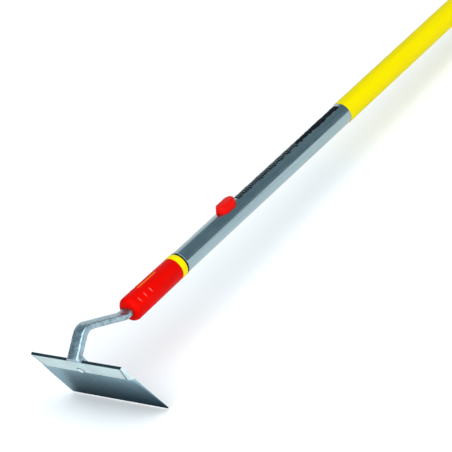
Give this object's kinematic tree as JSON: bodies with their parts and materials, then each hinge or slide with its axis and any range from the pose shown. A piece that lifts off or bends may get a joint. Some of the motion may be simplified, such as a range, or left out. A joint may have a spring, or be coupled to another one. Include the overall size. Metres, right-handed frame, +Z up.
{
  "type": "draw hoe with plug-in head",
  "caption": "Draw hoe: a flat ground steel blade on a bent bar neck whose tang plugs into a long handle and unlocks with a push button.",
  "frame": {"origin": "middle of the underside of the tool's bounding box, with the handle level and the cutting edge down", "axes": "+X runs along the handle from the head to the end cap, +Y along the cutting edge, +Z up through the release button"},
  "size_m": [1.692, 0.15, 0.1152],
  "materials": {
    "blade_steel": "ground and lightly brushed",
    "neck_steel": "zinc plated, satin",
    "spring_steel": "bright spring steel",
    "tube_aluminium": "drawn and clear anodised, fine lengthwise lines",
    "rivet_aluminium": "plain",
    "red_plastic": "moulded, semi-gloss",
    "red_button_plastic": "moulded, gloss",
    "black_plastic": "moulded, satin",
    "yellow_ring_plastic": "moulded, semi-gloss",
    "yellow_grip_plastic": "smooth sleeve, satin"
  },
  "bodies": {
    "handle": {"handle_tube": "tube_aluminium", "socket_insert": "black_plastic", "insert_rivet_front": "rivet_aluminium", "insert_rivet_rear": "rivet_aluminium", "grip_sleeve": "yellow_grip_plastic", "end_cap": "red_plastic", "button_spring": "spring_steel"},
    "head": {"blade": "blade_steel", "blade_rivet": "blade_steel", "neck": "neck_steel", "tang": "black_plastic", "tang_pin": "spring_steel", "snap_spring": "spring_steel", "socket_sleeve": "red_plastic", "colour_ring": "yellow_ring_plastic"},
    "button": {"release_button": "red_button_plastic"}
  },
  "joints": [
    {"name": "head_release", "type": "slide", "parent": "handle", "child": "head", "axis": [-1, 0, 0], "range_m": [0, 0.14], "deforming": ["snap_spring"]},
    {"name": "button_press", "type": "slide", "parent": "handle", "child": "button", "axis": [0, 0, -1], "range_m": [0, 0.0023], "stiffness_N_per_m": 800, "springref_m": -0.002, "deforming": ["button_spring", "snap_spring"]}
  ]
}
